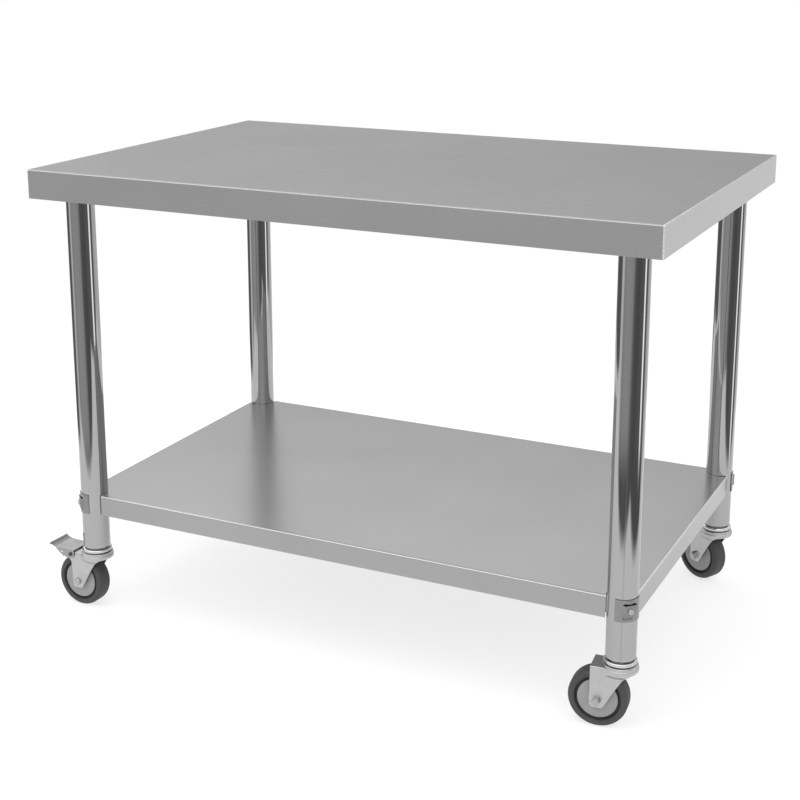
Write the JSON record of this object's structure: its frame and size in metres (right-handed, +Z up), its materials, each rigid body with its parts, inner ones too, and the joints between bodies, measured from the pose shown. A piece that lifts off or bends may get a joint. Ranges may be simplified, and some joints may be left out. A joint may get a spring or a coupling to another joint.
{
  "type": "work table",
  "caption": "Stainless steel kitchen work table with folded edges, round tube legs, a notched solid undershelf and swivel castors, two of them braked.",
  "frame": {"origin": "on the floor, under the centre of the worktop", "axes": "+X to the table's right seen from the front, +Y to its back, +Z up"},
  "size_m": [1.1962, 0.75, 0.85],
  "materials": {
    "worktop_steel": "satin stainless sheet with a fine lengthwise grain",
    "shelf_steel": "satin stainless sheet",
    "stiffener_steel": "galvanised sheet",
    "leg_steel": "mirror-polished stainless tube",
    "socket_steel": "plain bright steel",
    "clamp_steel": "pressed satin stainless",
    "screws": "bright stainless fasteners",
    "insert_zinc": "zinc-plated die-cast plug",
    "race_chrome": "bright zinc plating",
    "fork_zinc": "bright zinc-plated pressed steel",
    "axle_zinc": "zinc-plated",
    "bearing_steel": "hard bearing steel",
    "hub_plastic": "moulded grey nylon",
    "tyre_rubber": "dark grey moulded rubber"
  },
  "bodies": {
    "table_frame": {"worktop_sheet": "worktop_steel", "worktop_channel_left": "stiffener_steel", "worktop_channel_right": "stiffener_steel", "worktop_channel_centre": "stiffener_steel", "undershelf_sheet": "shelf_steel", "undershelf_channel": "stiffener_steel", "socket_grub_screws": "screws", "clamp_screws": "screws", "clamp_nuts": "screws", "leg_inserts": "insert_zinc", "castor_stems": "bearing_steel", "swivel_balls": "bearing_steel", "leg_socket_fl": "socket_steel", "leg_socket_fr": "socket_steel", "leg_socket_bl": "socket_steel", "leg_socket_br": "socket_steel", "leg_fl": "leg_steel", "leg_fr": "leg_steel", "leg_bl": "leg_steel", "leg_br": "leg_steel", "clamp_plate_fl": "clamp_steel", "clamp_plate_fr": "clamp_steel", "clamp_plate_bl": "clamp_steel", "clamp_plate_br": "clamp_steel", "shelf_saddle_fl": "socket_steel", "shelf_saddle_fr": "socket_steel", "shelf_saddle_bl": "socket_steel", "shelf_saddle_br": "socket_steel", "raceway_fl": "race_chrome", "raceway_fr": "race_chrome", "raceway_bl": "race_chrome", "raceway_br": "race_chrome"},
    "castor_fl": {"fork_fl": "fork_zinc", "axle_sleeve_fl": "bearing_steel", "axle_bolt_fl": "axle_zinc", "axle_nut_fl": "axle_zinc", "brake_pin_fl": "axle_zinc"},
    "wheel_fl": {"wheel_hub_fl": "hub_plastic", "tyre_fl": "tyre_rubber"},
    "pedal_fl": {"brake_pedal_fl": "fork_zinc"},
    "castor_fr": {"fork_fr": "fork_zinc", "axle_sleeve_fr": "bearing_steel", "axle_bolt_fr": "axle_zinc", "axle_nut_fr": "axle_zinc"},
    "wheel_fr": {"wheel_hub_fr": "hub_plastic", "tyre_fr": "tyre_rubber"},
    "castor_bl": {"fork_bl": "fork_zinc", "axle_sleeve_bl": "bearing_steel", "axle_bolt_bl": "axle_zinc", "axle_nut_bl": "axle_zinc", "brake_pin_bl": "axle_zinc"},
    "wheel_bl": {"wheel_hub_bl": "hub_plastic", "tyre_bl": "tyre_rubber"},
    "pedal_bl": {"brake_pedal_bl": "fork_zinc"},
    "castor_br": {"fork_br": "fork_zinc", "axle_sleeve_br": "bearing_steel", "axle_bolt_br": "axle_zinc", "axle_nut_br": "axle_zinc"},
    "wheel_br": {"wheel_hub_br": "hub_plastic", "tyre_br": "tyre_rubber"}
  },
  "joints": [
    {"name": "swivel_fl", "type": "hinge", "parent": "table_frame", "child": "castor_fl", "pos_m": [-0.5175, -0.3085, 0.1095], "axis": [0, 0, 1], "continuous": true},
    {"name": "spin_fl", "type": "hinge", "parent": "castor_fl", "child": "wheel_fl", "pos_m": [-0.55048, -0.30735, 0.05], "axis": [-0.0349, -0.9994, 0], "continuous": true},
    {"name": "brake_fl", "type": "hinge", "parent": "castor_fl", "child": "pedal_fl", "pos_m": [-0.56397, -0.30688, 0.1035], "axis": [-0.0349, -0.9994, 0], "range_deg": [0, 12]},
    {"name": "swivel_fr", "type": "hinge", "parent": "table_frame", "child": "castor_fr", "pos_m": [0.5175, -0.3085, 0.1095], "axis": [0, 0, 1], "continuous": true},
    {"name": "spin_fr", "type": "hinge", "parent": "castor_fr", "child": "wheel_fr", "pos_m": [0.48468, -0.31195, 0.05], "axis": [0.1045, -0.9945, 0], "continuous": true},
    {"name": "swivel_bl", "type": "hinge", "parent": "table_frame", "child": "castor_bl", "pos_m": [-0.5175, 0.3085, 0.1095], "axis": [0, 0, 1], "continuous": true},
    {"name": "spin_bl", "type": "hinge", "parent": "castor_bl", "child": "wheel_bl", "pos_m": [-0.55, 0.31423, 0.05], "axis": [-0.1736, -0.9848, 0], "continuous": true},
    {"name": "brake_bl", "type": "hinge", "parent": "castor_bl", "child": "pedal_bl", "pos_m": [-0.56329, 0.31657, 0.1035], "axis": [-0.1736, -0.9848, 0], "range_deg": [0, 12]},
    {"name": "swivel_br", "type": "hinge", "parent": "table_frame", "child": "castor_br", "pos_m": [0.5175, 0.3085, 0.1095], "axis": [0, 0, 1], "continuous": true},
    {"name": "spin_br", "type": "hinge", "parent": "castor_br", "child": "wheel_br", "pos_m": [0.48836, 0.32399, 0.05], "axis": [-0.4695, -0.8829, 0], "continuous": true}
  ]
}
